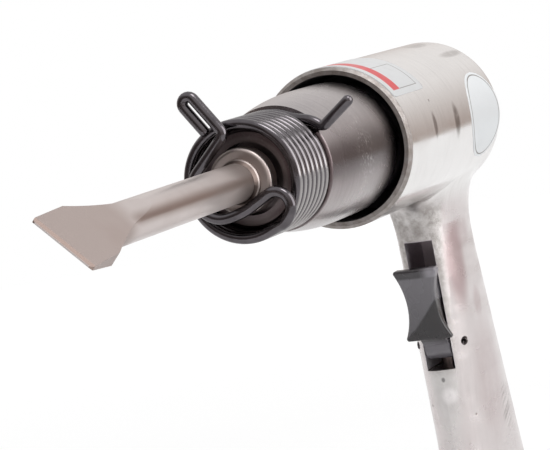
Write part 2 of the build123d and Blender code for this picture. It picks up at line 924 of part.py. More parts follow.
def make_throttle_spring():
    """Return spring between the inlet bushing and the poppet."""
    height = throttle_spring_length - 2 * throttle_wire_radius - 2 * contact_gap
    pitch = height / throttle_coil_turns
    foot = Vector(0, 0, bushing_top + throttle_wire_radius + contact_gap)
    up = Vector(0, 0, 1)
    side = Vector(1, 0, 0)
    radius = poppet_pilot_radius + throttle_pilot_gap + throttle_wire_radius
    path = Wire(winding(foot, up, side, radius, pitch, throttle_coil_turns))
    return wire_solid("throttle_spring", path, throttle_wire_radius)


def make_inlet_bushing():
    """Hexagonal inlet bushing with the hose thread's bore and a shoulder for the strainer."""
    shoulder = inlet_bore_depth + strainer_flange
    thread_fit = inlet_thread_radius - seat_gap
    neck = post(thread_fit, hex_height, bushing_top)
    head = extrude(RegularPolygon(hex_across_flats / 2, 6, major_radius=False), hex_height)
    bushing = neck + head
    bushing -= post(inlet_bore_radius, 0, inlet_bore_depth)
    bushing -= post(strainer_seat_radius, inlet_bore_depth, shoulder)
    return bushing - post(strainer_radius + seat_gap, shoulder, bushing_top)


def make_inlet_gasket():
    """Fibre washer between the bushing's head and the handle."""
    inner = inlet_thread_radius + seat_gap
    outer = inner + inlet_gasket_width
    return upright((inner, hex_height), (outer, hex_height), (outer, base_height), (inner, base_height))


def make_inlet_strainer():
    """Perforated cup that keeps grit out of the throttle."""
    rim = inlet_bore_depth + strainer_flange
    top = bushing_top - strainer_sink
    cup = upright(
        (strainer_radius - strainer_wall, inlet_bore_depth),
        (strainer_seat_radius - seat_gap, inlet_bore_depth),
        (strainer_seat_radius - seat_gap, rim),
        (strainer_radius, rim),
        (strainer_radius, top),
        (0, top),
        (0, top - strainer_wall),
        (strainer_radius - strainer_wall, top - strainer_wall),
    )
    for index in range(strainer_hole_count):
        angle = 2 * math.pi * index / strainer_hole_count
        x = strainer_hole_circle * math.cos(angle)
        y = strainer_hole_circle * math.sin(angle)
        cup -= rod((x, y, rim), (x, y, bushing_top), strainer_hole_radius)
    return cup


makers = {
    "housing": make_housing,
    "barrel": make_barrel,
    "barrel_seal": make_barrel_seal,
    "piston": make_piston,
    "valve_front": make_valve_front,
    "valve_plate": make_valve_plate,
    "valve_rear": make_valve_rear,
    "valve_dowels": make_valve_dowels,
    "rear_gasket": make_rear_gasket,
    "retaining_spring": make_retaining_spring,
    "chisel": make_chisel,
    "trigger": make_trigger,
    "trigger_pin": make_trigger_pin,
    "throttle_bush": make_throttle_bush,
    "stem_seal": make_stem_seal,
    "throttle_stem": make_throttle_stem,
    "poppet_seal": make_poppet_seal,
    "throttle_spring": make_throttle_spring,
    "inlet_bushing": make_inlet_bushing,
    "inlet_gasket": make_inlet_gasket,
    "inlet_strainer": make_inlet_strainer,
}
for name, make in makers.items():
    export_step(make(), f"parts/{name}.step")
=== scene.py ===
"""Looks of a pistol-grip air hammer: finishes, wire springs, blank labels and the stage round its solids."""

import math

import bpy
import numpy as np
from mathutils import Matrix, Vector


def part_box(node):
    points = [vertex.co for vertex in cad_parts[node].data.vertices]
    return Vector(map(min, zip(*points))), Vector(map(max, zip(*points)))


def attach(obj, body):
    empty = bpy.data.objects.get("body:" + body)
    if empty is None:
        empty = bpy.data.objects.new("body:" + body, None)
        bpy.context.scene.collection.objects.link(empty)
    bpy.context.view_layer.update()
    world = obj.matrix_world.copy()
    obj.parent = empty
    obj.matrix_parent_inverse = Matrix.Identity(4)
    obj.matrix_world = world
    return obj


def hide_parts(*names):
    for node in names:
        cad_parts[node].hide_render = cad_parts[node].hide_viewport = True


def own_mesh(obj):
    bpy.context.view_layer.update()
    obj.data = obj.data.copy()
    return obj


bl_info = {
    "name": "Air hammer looks",
    "version": (1, 0, 0),
    "blender": (4, 5, 0),
    "location": "3D View > Sidebar > Air hammer",
    "description": "Finishes, wire springs, blank labels and a stage for the packed air hammer",
    "category": "Object",
}

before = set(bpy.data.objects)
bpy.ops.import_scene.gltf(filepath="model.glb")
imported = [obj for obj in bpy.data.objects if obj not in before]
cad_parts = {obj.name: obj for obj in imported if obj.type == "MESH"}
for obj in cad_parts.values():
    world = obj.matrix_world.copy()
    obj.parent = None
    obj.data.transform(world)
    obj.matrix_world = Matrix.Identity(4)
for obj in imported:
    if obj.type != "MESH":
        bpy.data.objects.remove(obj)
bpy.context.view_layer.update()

mm = 0.001
housing_low, housing_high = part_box("housing")
case_radius = (housing_high.y - housing_low.y) / 2
axis_height = housing_high.z - case_radius
rim_place = housing_high.x
chisel_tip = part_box("chisel")[1].x
# The case's dome behind, where the barrel's browned nose begins and where the chisel's bronzed collar ends.
dome_depth = 10.3 * mm
dome_place = housing_low.x + dome_depth
nose_place = rim_place + 43.4 * mm
collar_face = rim_place + 68.6 * mm
# Steps along a bent wire, and how deep a label's edge is sunk as a share of the label's thickness.
wire_step = 0.5 * mm
edge_sink = 0.4
white = (1.0, 1.0, 1.0)


def length_setting(name, size, description):
    """A length property, given in millimetres."""
    return bpy.props.FloatProperty(
        name=name, description=description, default=size * mm, unit="LENGTH", precision=5
    )


def angle_setting(name, degrees, description):
    """An angle property, given in degrees."""
    return bpy.props.FloatProperty(
        name=name, description=description, default=math.radians(degrees), subtype="ANGLE"
    )


def number_setting(name, number, description):
    """A plain number property."""
    return bpy.props.FloatProperty(name=name, description=description, default=number)


def place_setting(name, place, description):
    """A place property, given in metres."""
    return bpy.props.FloatVectorProperty(
        name=name, description=description, default=place, size=3, subtype="TRANSLATION"
    )


def screen_light(level):
    """The light of a screen level from 0 to 255: the usual screen curve, undone."""
    share = level / 255
    if share <= 0.04045:
        return share / 12.92
    return ((share + 0.055) / 1.055) ** 2.4


def colour_setting(name, levels, description):
    """A colour property, given as red, green and blue screen levels."""
    return bpy.props.FloatVectorProperty(
        name=name,
        description=description,
        default=[screen_light(level) for level in levels],
        min=0.0,
        max=1.0,
        size=3,
        subtype="COLOR",
    )


class AirHammerStage(bpy.types.PropertyGroup):
    """Camera, floor and the studio round the object."""

    camera_place: place_setting("Camera place", (0.6936, 0.2573, 0.17245), "Where the camera stands")
    azimuth: angle_setting("Azimuth", 114.1782, "Camera's direction round the object")
    elevation: angle_setting("Elevation", 5.6731, "Camera's angle above the horizon")
    roll: angle_setting("Roll", -9.6339, "Camera's tilt about its own line of sight")
    lens: bpy.props.FloatProperty(
        name="Lens", description="Focal length on a 36 mm sensor", default=157.09, unit="CAMERA"
    )
    floor_radius: length_setting("Floor radius", 900, "From the handle to the floor's edge")
    floor_colour: colour_setting("Floor", (232, 232, 232), "Plain pale floor")
    wall_height: length_setting("Wall height", 440, "Where the studio's wall has turned pale")
    wall_foot: colour_setting("Wall foot", (176, 160, 152), "The studio's wall at its foot, in the polish")
    wall_top: colour_setting("Wall top", (249, 246, 244), "The studio's wall at its height, in the polish")
    side_colour: colour_setting("Side screen", (126, 117, 114), "Dim screen to the left of the camera")
    window_light: number_setting("Window light", 4.4, "Strength of the window to the right")
    sky_light: number_setting("Sky light", 0.75, "Strength of the even light from all round")
    lamp_place: place_setting("Lamp place", (0.28, 0.5, 1.3), "Where the lamp hangs")
    lamp_aim: place_setting("Lamp aim", (0.05, 0.0, 0.1), "What the lamp points at")
    lamp_size: length_setting("Lamp size", 600, "The round lamp's width")
    lamp_power: number_setting("Lamp power", 6.0, "The lamp's power in watts")


class AirHammerFinishes(bpy.types.PropertyGroup):
    """Colours of the finishes."""

    casting: colour_setting("Casting", (228, 226, 225), "Polished aluminium")
    casting_dull: colour_setting("Dull casting", (184, 180, 178), "Aluminium as it left the mould")
    casting_stain: colour_setting("Casting stain", (172, 150, 150), "Hand marks on the aluminium")
    casting_mark: colour_setting("Casting mark", (112, 101, 95), "Dents and scratches in the aluminium")
    casting_spot: colour_setting("Casting spot", (239, 235, 235), "Round spot where the aluminium is bright")
    # Bore: painted shade, sooty too, in the housing's bore and on the barrel within it; also a small dark
    # spot low on the handle's front.
    bore: colour_setting("Bore", (40, 36, 39), "Soot inside the housing's bore")
    slot: colour_setting("Slot", (198, 191, 196), "Shaded metal inside the trigger's slot")
    # Slot foot: painted light, the pale foot of the trigger's slot as if lit.
    slot_foot_light: colour_setting("Slot foot", (235, 238, 240), "Paler metal low in the trigger's slot")
    barrel: colour_setting("Barrel", (158, 150, 150), "Turned dark steel")
    nose: colour_setting("Barrel nose", (98, 86, 87), "Browned steel at the barrel's front")
    # Scuff also gives the barrel's painted highlight on its top and bottom.
    scuff: colour_setting("Scuff", (204, 201, 200), "Bare steel in scuffs and scratches")
    wire: colour_setting("Spring wire", (92, 88, 91), "Black oxide on spring steel")
    # Worn wire also gives the painted highlight on the coil's crests.
    wire_worn_and_highlight: colour_setting("Worn wire", (174, 170, 169), "Spring steel where the oxide is worn")
    chisel: colour_setting("Chisel", (200, 190, 187), "Ground chisel steel")
    collar: colour_setting("Chisel collar", (178, 167, 163), "Bronzed steel of the collar")
    # Chisel scale also gives the painted brown reflection along the chisel's side.
    chisel_scale_and_reflection: colour_setting("Chisel scale", (142, 123, 115), "Brown forge scale left on the chisel")
    chisel_fleck: colour_setting("Chisel fleck", (218, 212, 206), "Bright flecks in the chisel's scale")
    trigger: colour_setting("Trigger", (107, 104, 109), "Satin grey coat")
    # Trigger shade: painted shade and a painted dark reflection on the trigger.
    trigger_shade: colour_setting("Trigger shade", (33, 28, 31), "The coat where hands have darkened it")
    steel: colour_setting("Machined steel", (190, 190, 192), "Plain machined steel")
    brass: colour_setting("Brass", (214, 178, 104), "Turned brass")
    rubber: colour_setting("Rubber", (38, 38, 39), "Matte black rubber")
    label: colour_setting("Label", (209, 210, 211), "Pale label stock")
    badge: colour_setting("Badge", (235, 238, 240), "White badge stock")
    stripe: colour_setting("Label stripe", (206, 52, 58), "Plain red stripe")
    label_line: colour_setting("Label line", (112, 102, 98), "Thin printed line")
    grime: colour_setting("Label grime", (174, 168, 164), "Faint grime on the labels")


class AirHammerWire(bpy.types.PropertyGroup):
    """The bent wire that holds the chisel, and the throttle's spring."""

    wire_radius: length_setting("Wire radius", 1.46, "Half the retaining wire's thickness")
    coil_radius: length_setting("Coil radius", 14.75, "From the barrel's axis to the wire's middle")
    coil_pitch: length_setting("Coil pitch", 2.98, "From one turn to the next")
    coil_front: length_setting("Coil front", 65.9006, "From the rim to the coil's first point")
    coil_start: angle_setting("Coil start", -70, "Where the coil starts, about the barrel's axis")
    coil_turn: angle_setting("Coil turn", 2744, "How far the coil winds")
    clip_place: length_setting("Clip place", 69.0, "From the rim to the loop round the chisel")
    clip_radius: length_setting("Clip radius", 7.48, "The loop round the chisel")
    tail_place: length_setting("Tail place", 43.6, "From the rim to the tail")
    tail_length: length_setting("Tail length", 9.6, "The tail's straight end")
    throttle_radius: length_setting("Throttle coil radius", 3.6, "The throttle spring's coil")
    throttle_wire: length_setting("Throttle wire radius", 0.45, "Half the throttle wire's thickness")
    throttle_foot: length_setting("Throttle foot", 17.05, "Height of the throttle spring's foot")
    throttle_pitch: length_setting("Throttle pitch", 2.075, "From one throttle turn to the next")
    throttle_turns: number_setting("Throttle turns", 4.0, "Turns of the throttle spring")


class AirHammerLabels(bpy.types.PropertyGroup):
    """The two blank labels on the case, and the inlet's thread."""

    badge_place: length_setting("Badge place", 4.6, "Badge's middle along the barrel's axis")
    badge_angle: angle_setting("Badge angle", -1.8, "Badge's middle about the barrel's axis")
    badge_radius: length_setting("Badge radius", 13.5, "The round badge")
    label_back: length_setting("Label back", 45.5, "Label's rear edge along the barrel's axis")
    label_front: length_setting("Label front", 69.8, "Label's front edge along the barrel's axis")
    label_low: angle_setting("Label low", 31, "Label's lower edge about the barrel's axis")
    label_high: angle_setting("Label high", 131, "Label's far edge about the barrel's axis")
    label_corner: length_setting("Label corner", 1.6, "Round of the label's corners")
    label_lift: length_setting("Label thickness", 0.14, "How far a label stands off the case")
    thread_pitch: length_setting("Thread pitch", 1.337, "Pitch of the inlet's pipe thread")
    thread_depth: length_setting("Thread depth", 0.6, "Depth of the inlet's pipe thread")


def grid_mesh(name, points, around=False, along=False, poles=(None, None), uv=None):
    """Object over a grid of points, row by row; a pole closes an end, around and along join the edges.

    A face runs from (row, column) to the next column, then to the next row, so it looks along
    column step x row step. Each corner takes its uv from the grid's steps unless uv gives it.
    """
    rows, columns = points.shape[:2]
    row_steps = rows if along else rows - 1
    column_steps = columns if around else columns - 1
    row, column = np.meshgrid(np.arange(row_steps), np.arange(column_steps), indexing="ij")
    row, column = row.ravel(), column.ravel()
    corner_rows = np.stack([row, row, row + 1, row + 1], axis=1)
    corner_columns = np.stack([column, column + 1, column + 1, column], axis=1)
    quads = (corner_rows % rows) * columns + corner_columns % columns
    vertices = points.reshape(-1, 3)
    if uv is None:
        corner_uv = np.stack([corner_rows / row_steps, corner_columns / column_steps], axis=-1)
    else:
        corner_uv = uv[corner_rows % rows, corner_columns % columns]
    loops = [quads.ravel()]
    loop_uv = [corner_uv.reshape(-1, 2)]
    sizes = [np.full(len(quads), 4)]
    edge = np.arange(column_steps)
    for pole, base, turn in ((poles[0], 0, (1, 0)), (poles[1], rows - 1, (0, 1))):
        if pole is None:
            continue
        first, second = ((edge + step) % columns for step in turn)
        middle = np.full(column_steps, len(vertices))
        vertices = np.vstack([vertices, pole])
        loops.append(np.stack([middle, base * columns + first, base * columns + second], axis=1).ravel())
        if uv is None:
            fan_uv = [np.full(3 * column_steps, base / row_steps), np.repeat(edge / column_steps, 3)]
        else:
            middle_uv = np.broadcast_to(uv[base].mean(axis=0), (column_steps, 2))
            fan_uv = np.stack([middle_uv, uv[base, first], uv[base, second]], axis=1).reshape(-1, 2).T
        loop_uv.append(np.stack(fan_uv, axis=1))
        sizes.append(np.full(column_steps, 3))
    loops = np.concatenate(loops)
    sizes = np.concatenate(sizes)
    mesh = bpy.data.meshes.new(name)
    mesh.vertices.add(len(vertices))
    mesh.vertices.foreach_set("co", vertices.astype(np.float32).ravel())
    mesh.loops.add(len(loops))
    mesh.loops.foreach_set("vertex_index", loops.astype(np.int32))
    mesh.polygons.add(len(sizes))
    starts = np.concatenate([[0], np.cumsum(sizes)[:-1]])
    mesh.polygons.foreach_set("loop_start", starts.astype(np.int32))
    mesh.polygons.foreach_set("use_smooth", np.ones(len(sizes), dtype=bool))
    mesh.update(calc_edges=True)
    layer = mesh.uv_layers.new(name="surface")
    layer.data.foreach_set("uv", np.concatenate(loop_uv).astype(np.float32).ravel())
    if mesh.validate():
        raise RuntimeError(f"{name} has faults in its faces")
    made = bpy.data.objects.new(name, mesh)
    bpy.context.scene.collection.objects.link(made)
    return made


def round_angles(count):
    """Angles in even steps round a circle."""
    return np.linspace(0, 2 * math.pi, count, endpoint=False)


def ring_points(radius, angle, z):
    """Points on rings about the Z axis: (radius cos angle, radius sin angle, z)."""
    radius, angle, z = np.broadcast_arrays(radius, angle, z)
    return np.stack([radius * np.cos(angle), radius * np.sin(angle), z], axis=-1)


def place_piece(piece, body, material, node=None):
    """Gives a new piece its finish and its body, and hides the solid that it stands for."""
    piece.data.materials.append(material)
    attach(piece, body)
    if node:
        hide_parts(node)


def dress(names, material):
    """Gives solids of the frame a finish."""
    for name in names:
        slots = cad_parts[name].data.materials
        slots.clear()
        slots.append(material)


def unit(vector):
    """The vector at a length of one."""
    return vector / np.linalg.norm(vector)


def across_way(angle):
    """The unit vector across the barrel, at an angle from +Y towards +Z."""
    return np.array([0, math.cos(angle), math.sin(angle)])


def arc_points(start, tangent, normal, radius, turn):
    """An arc: start + radius (sin t tangent + (1 - cos t) normal), with t from nothing to turn."""
    count = max(4, int(radius * turn / wire_step) + 1)
    t = np.linspace(0, turn, count)[1:, None]
    return start + radius * (np.sin(t) * tangent + (1 - np.cos(t)) * normal)


def arc_between(start, tangent, end):
    """The arc that leaves start along tangent and reaches end; it turns twice the chord's angle."""
    chord = end - start
    across = chord - chord.dot(tangent) * tangent
    half = math.atan2(np.linalg.norm(across), chord.dot(tangent))
    radius = np.linalg.norm(chord) / (2 * math.sin(half))
    return arc_points(start, tangent, unit(across), radius, 2 * half)


def joining_arcs(start, start_heading, end, end_heading):
    """Two arcs of equal tangent length that leave start and reach end along the given headings."""
    chord = end - start
    bend = 2 * (1 - start_heading.dot(end_heading))
    reach = chord.dot(start_heading + end_heading)
    tangent = (math.sqrt(reach**2 + bend * chord.dot(chord)) - reach) / bend
    first = start + start_heading * tangent
    second = end - end_heading * tangent
    middle = (first + second) / 2
    return [arc_between(start, start_heading, middle), arc_between(middle, unit(second - first), end)]


def bent_run(place, y, z, heading, moves):
    """A wire bent in a plane across the barrel: each move feeds a length, then turns through degrees.

    The plane lies at place beyond the rim. The start's y and z from the barrel's axis, the fed lengths
    and the bends' radii are in millimetres. Returns the points, and the heading at the end.
    """
    point = np.array([rim_place + place, y * mm, axis_height + z * mm])
    angle = math.radians(heading)
    points = [point[None]]
    for straight, radius, degrees in moves:
        forward = across_way(angle)
        if straight:
            count = max(2, int(straight * mm / wire_step))
            points.append(point + forward * (straight * mm * np.linspace(0, 1, count)[1:, None]))
            point = points[-1][-1]
        if degrees:
            inward = across_way(angle + math.copysign(math.pi / 2, degrees))
            points.append(arc_points(point, forward, inward, radius * mm, math.radians(abs(degrees))))
            point = points[-1][-1]
            angle += math.radians(degrees)
    return np.vstack(points), across_way(angle)


def coil_points(centre, along, side, radius, pitch, turn):
    """A helix: centre + along pitch t / (2 pi) + radius (cos t side + sin t (along x side)).

    Returns its points, and its headings at the start and at the end.
    """
    count = int(turn * radius / wire_step) + 2
    t = np.linspace(0, turn, count)[:, None]
    up = np.cross(along, side)
    rise = along * pitch / (2 * math.pi)
    points = centre + rise * t + radius * (np.cos(t) * side + np.sin(t) * up)
    start_heading = unit(rise + radius * up)
    end_heading = unit(rise + radius * (math.cos(turn) * up - math.sin(turn) * side))
    return points, start_heading, end_heading


def wire_tube(name, path, radius, sides):
    """A round wire: path + radius (cos a N + sin a B), where N leans to the wire's own plane and B = T x N.

    Its ends are half spheres, (reach, size) = radius (1 - cos t, sin t), half of each beyond the path.
    """
    t = np.linspace(0, math.pi / 2, 9)[1:]
    reach = radius * (0.5 - np.cos(t))
    start_way = unit(path[1] - path[0])
    end_way = unit(path[-1] - path[-2])
    path = np.vstack(
        [path[0] + reach[:, None] * start_way, path[3:-3], path[-1] - reach[::-1, None] * end_way]
    )
    sizes = np.full(len(path), radius)
    sizes[: len(t)] = radius * np.sin(t)
    sizes[-len(t) :] = sizes[len(t) - 1 :: -1]
    start_pole = path[0] - radius * (1 - math.cos(t[0])) * start_way
    end_pole = path[-1] + radius * (1 - math.cos(t[0])) * end_way
    tangent = np.gradient(path, axis=0)
    tangent /= np.linalg.norm(tangent, axis=1)[:, None]
    lean = np.array([1.0, 0.0, 0.0]) if abs(tangent[:, 0]).mean() < 0.6 else np.array([0.0, 0.0, 1.0])
    normal = lean - (tangent @ lean)[:, None] * tangent
    normal /= np.linalg.norm(normal, axis=1)[:, None]
    across = np.cross(tangent, normal)
    angle = round_angles(sides)[:, None]
    offset = np.cos(angle) * normal[:, None] + np.sin(angle) * across[:, None]
    points = path[:, None] + sizes[:, None, None] * offset
    return grid_mesh(name, points, around=True, poles=(start_pole, end_pole))


def retaining_path(sizes):
    """The retaining wire from its ear, round the chisel, through the coil to its tail."""
    front, front_heading = bent_run(
        sizes.clip_place,
        -5.86,
        13.85,
        124.75,
        [
            (8.45, 1.8, -180),
            (10.5, 1.8, -80.9),
            (11.07, sizes.clip_radius / mm, 142.9),
            (0, 22.0, 21.4),
            (5.1, 3.95, -143.5),
        ],
    )
    centre = np.array([rim_place + sizes.coil_front, 0, axis_height])
    backward = np.array([-1.0, 0.0, 0.0])
    coil, coil_in, coil_out = coil_points(
        centre, backward, across_way(sizes.coil_start), sizes.coil_radius, sizes.coil_pitch, sizes.coil_turn
    )
    heading, bend, bend_radius = -40, 76, 1.6
    tail_heading = across_way(math.radians(heading))
    corner = 18.35 * across_way(math.radians(31.2))
    tail_start = corner - bend_radius * math.tan(math.radians(bend / 2)) * tail_heading
    moves = [(0, bend_radius, bend), (sizes.tail_length / mm, 0, 0)]
    tail, _ = bent_run(sizes.tail_place, *tail_start[1:], heading, moves)
    lead_in = joining_arcs(front[-1], front_heading, coil[0], coil_in)
    lead_out = joining_arcs(coil[-1], coil_out, tail[0], tail_heading)
    return np.vstack([front, *lead_in, coil[1:], *lead_out, tail[1:]])


def case_point(walk, angle, lift):
    """A point on the case: walk is measured along its side, round the dome behind, angle about its axis.

    On the dome the side is the quarter ellipse x = -depth sin t, r = radius cos t, walked by its length.
    """
    t = np.linspace(0, 1.2, 200)
    dome_x = -dome_depth * np.sin(t)
    dome_r = case_radius * np.cos(t)
    walked = np.concatenate([[0], np.cumsum(np.hypot(np.diff(dome_x), np.diff(dome_r)))])
    behind = np.clip(dome_place - walk, 0, None)
    share = np.interp(behind, walked, t)
    x = np.where(walk > dome_place, walk, dome_place - dome_depth * np.sin(share))
    slope = np.hypot(np.cos(share) / case_radius, np.sin(share) / dome_depth)
    out_x = -np.sin(share) / dome_depth / slope
    out_r = np.cos(share) / case_radius / slope
    ring = case_radius * np.cos(share) + out_r * lift
    return np.stack(
        [x + out_x * lift, ring * np.cos(angle), axis_height + ring * np.sin(angle)], axis=-1
    )


def feed(tree, socket, value):
    """Sets a shader's socket, or links it to a value or to another node's output."""
    if isinstance(value, Value):
        value = value.socket
    if isinstance(value, bpy.types.NodeSocket):
        tree.links.new(value, socket)
    elif socket.type == "RGBA":
        socket.default_value = (*value, 1.0)
    else:
        socket.default_value = value


def add(tree, kind, sockets=None, **settings):
    """Adds a shader node and feeds its sockets."""
    made = tree.nodes.new("ShaderNode" + kind)
    for key, value in settings.items():
        setattr(made, key, value)
    for key, value in (sockets or {}).items():
        feed(tree, made.inputs[key], value)
    return made


class Value:
    """A number that a shader works out at each point; each step with it adds a node."""

    def __init__(self, tree, socket):
        self.tree = tree
        self.socket = socket

    def step(self, operation, first, second=0.0):
        """One step of arithmetic."""
        made = add(self.tree, "Math", {0: first, 1: second}, operation=operation)
        return Value(self.tree, made.outputs["Value"])

    def __add__(self, other):
        return self.step("ADD", self, other)

    def __sub__(self, other):
        return self.step("SUBTRACT", self, other)

    def __rsub__(self, other):
        return self.step("SUBTRACT", other, self)

    def __mul__(self, other):
        return self.step("MULTIPLY", self, other)

    def larger(self, other):
        """The larger of two values."""
        return self.step("MAXIMUM", self, other)

    def size(self):
        """The value without its sign."""
        return self.step("ABSOLUTE", self)

    def ease(self, low, high, bottom=0.0, top=1.0, shape="SMOOTHSTEP"):
        """Goes smoothly from bottom to top as the value goes from low to high."""
        sockets = {"Value": self, "From Min": low, "From Max": high, "To Min": bottom, "To Max": top}
        made = add(self.tree, "MapRange", sockets, interpolation_type=shape)
        return Value(self.tree, made.outputs["Result"])

    def above(self, place, soft):
        """One above a place, nothing below it, with a soft edge."""
        return self.ease(place - soft, place + soft)

    def below(self, place, soft):
        """One below a place, nothing above it, with a soft edge."""
        return self.ease(place + soft, place - soft)

    def between(self, low, high, soft):
        """One between two places, with soft edges."""
        return self.above(low, soft) * self.below(high, soft)


class Shader:
    """A node tree with its coordinates, and the steps that finishes are made of."""

    def __init__(self, tree):
        self.tree = tree
        coordinates = add(tree, "TexCoord")
        self.where = coordinates.outputs["Object"]
        self.uv = coordinates.outputs["UV"]
        self.x, self.y, self.z = self.parts(self.where)

    def parts(self, vector):
        """A vector's three parts."""
        made = add(self.tree, "SeparateXYZ", {"Vector": vector})
        return [Value(self.tree, part) for part in made.outputs]

    def mapped(self, vector, **sockets):
        """A vector scaled, turned and moved."""
        return add(self.tree, "Mapping", {"Vector": vector, **sockets}).outputs["Vector"]

    def length(self, vector):
        """A vector's length."""
        made = add(self.tree, "VectorMath", {0: vector}, operation="LENGTH")
        return Value(self.tree, made.outputs["Value"])

    def axis_distance(self):
        """How far a point lies from the barrel's axis."""
        return self.length(self.mapped(self.where, Location=(0, 0, -axis_height), Scale=(0, 1, 1)))

    def patch(self, centre, reach):
        """One inside an ellipsoid, its middle and reaches in millimetres, and nothing at its edge."""
        scale = [1 / (size * mm) for size in reach]
        shift = [-middle * mm * part for middle, part in zip(centre, scale)]
        return self.length(self.mapped(self.where, Location=shift, Scale=scale)).ease(1.0, 0.4)

    def noise(self, scale, detail=3.0, roughness=0.55, stretch=None, where=None):
        """Cloudy noise from 0 to 1, drawn out along some axes; scale is in waves per metre."""
        vector = self.where if where is None else where
        if stretch:
            vector = self.mapped(vector, Scale=stretch)
        sockets = {"Vector": vector, "Scale": scale, "Detail": detail, "Roughness": roughness}
        return Value(self.tree, add(self.tree, "TexNoise", sockets).outputs["Fac"])

    def layered(self, colour, *layers):
        """A colour with others laid over it in turn, each by its share."""
        for share, other in layers:
            sockets = {0: share, 6: colour, 7: other}
            colour = add(self.tree, "Mix", sockets, data_type="RGBA").outputs[2]
        return colour

    def bumped(self, height, depth, strength, base=None):
        """Normal over a height from 0 to 1 of the given depth, on top of a base normal."""
        sockets = {"Height": height, "Distance": depth, "Strength": strength}
        if base is not None:
            sockets["Normal"] = base
        return add(self.tree, "Bump", sockets).outputs["Normal"]


class Finish(Shader):
    """A new material in the making."""

    def __init__(self, name):
        self.material = bpy.data.materials.new(name)
        self.material.use_nodes = True
        super().__init__(self.material.node_tree)

    def finished(self, **sockets):
        """Feeds the surface's sockets, by names with spaces for underscores, and returns the material."""
        surface = self.tree.nodes["Principled BSDF"]
        for key, value in sockets.items():
            feed(self.tree, surface.inputs[key.replace("_", " ")], value)
        return self.material


def shaded(colour, share):
    """A colour made darker or lighter."""
    return [min(1.0, part * share) for part in colour]


def casting_marks(colours):
    """Marks on the casting: middle and reach in millimetres, colour, strength."""
    mark, stain = colours.casting_mark, colours.casting_stain
    return [
        ((49.6, 22.8, 125.2), (1.8, 5, 4.8), mark, 0.75),
        ((30.7, 22.7, 124.4), (2.9, 5, 6.4), mark, 0.8),
        ((1.0, 13.4, 142.4), (12, 3, 1.4), mark, 0.5),
        ((5.0, 4.0, 146.5), (10, 4, 1.6), mark, 0.5),
        ((7.0, 9.5, 88.5), (9, 6, 6), stain, 0.45),
        ((1.5, 9.3, 66.3), (4, 5, 6), stain, 0.45),
        ((0.5, 9.3, 42.0), (13, 6, 24), stain, 0.3),
        # Painted shade: these two marks darken the crease under the neck, at the handle's front.
        ((18.0, 3.8, 99.0), (5, 3.2, 5.5), mark, 0.35),
        ((18.0, 0.8, 92.0), (5, 2.4, 3.6), mark, 0.35),
        ((18.0, 0.3, 45.2), (5, 0.8, 1.1), colours.bore, 0.6),
        ((18.0, 1.4, 40.0), (5, 3.6, 3.6), colours.casting_spot, 0.9),
    ]


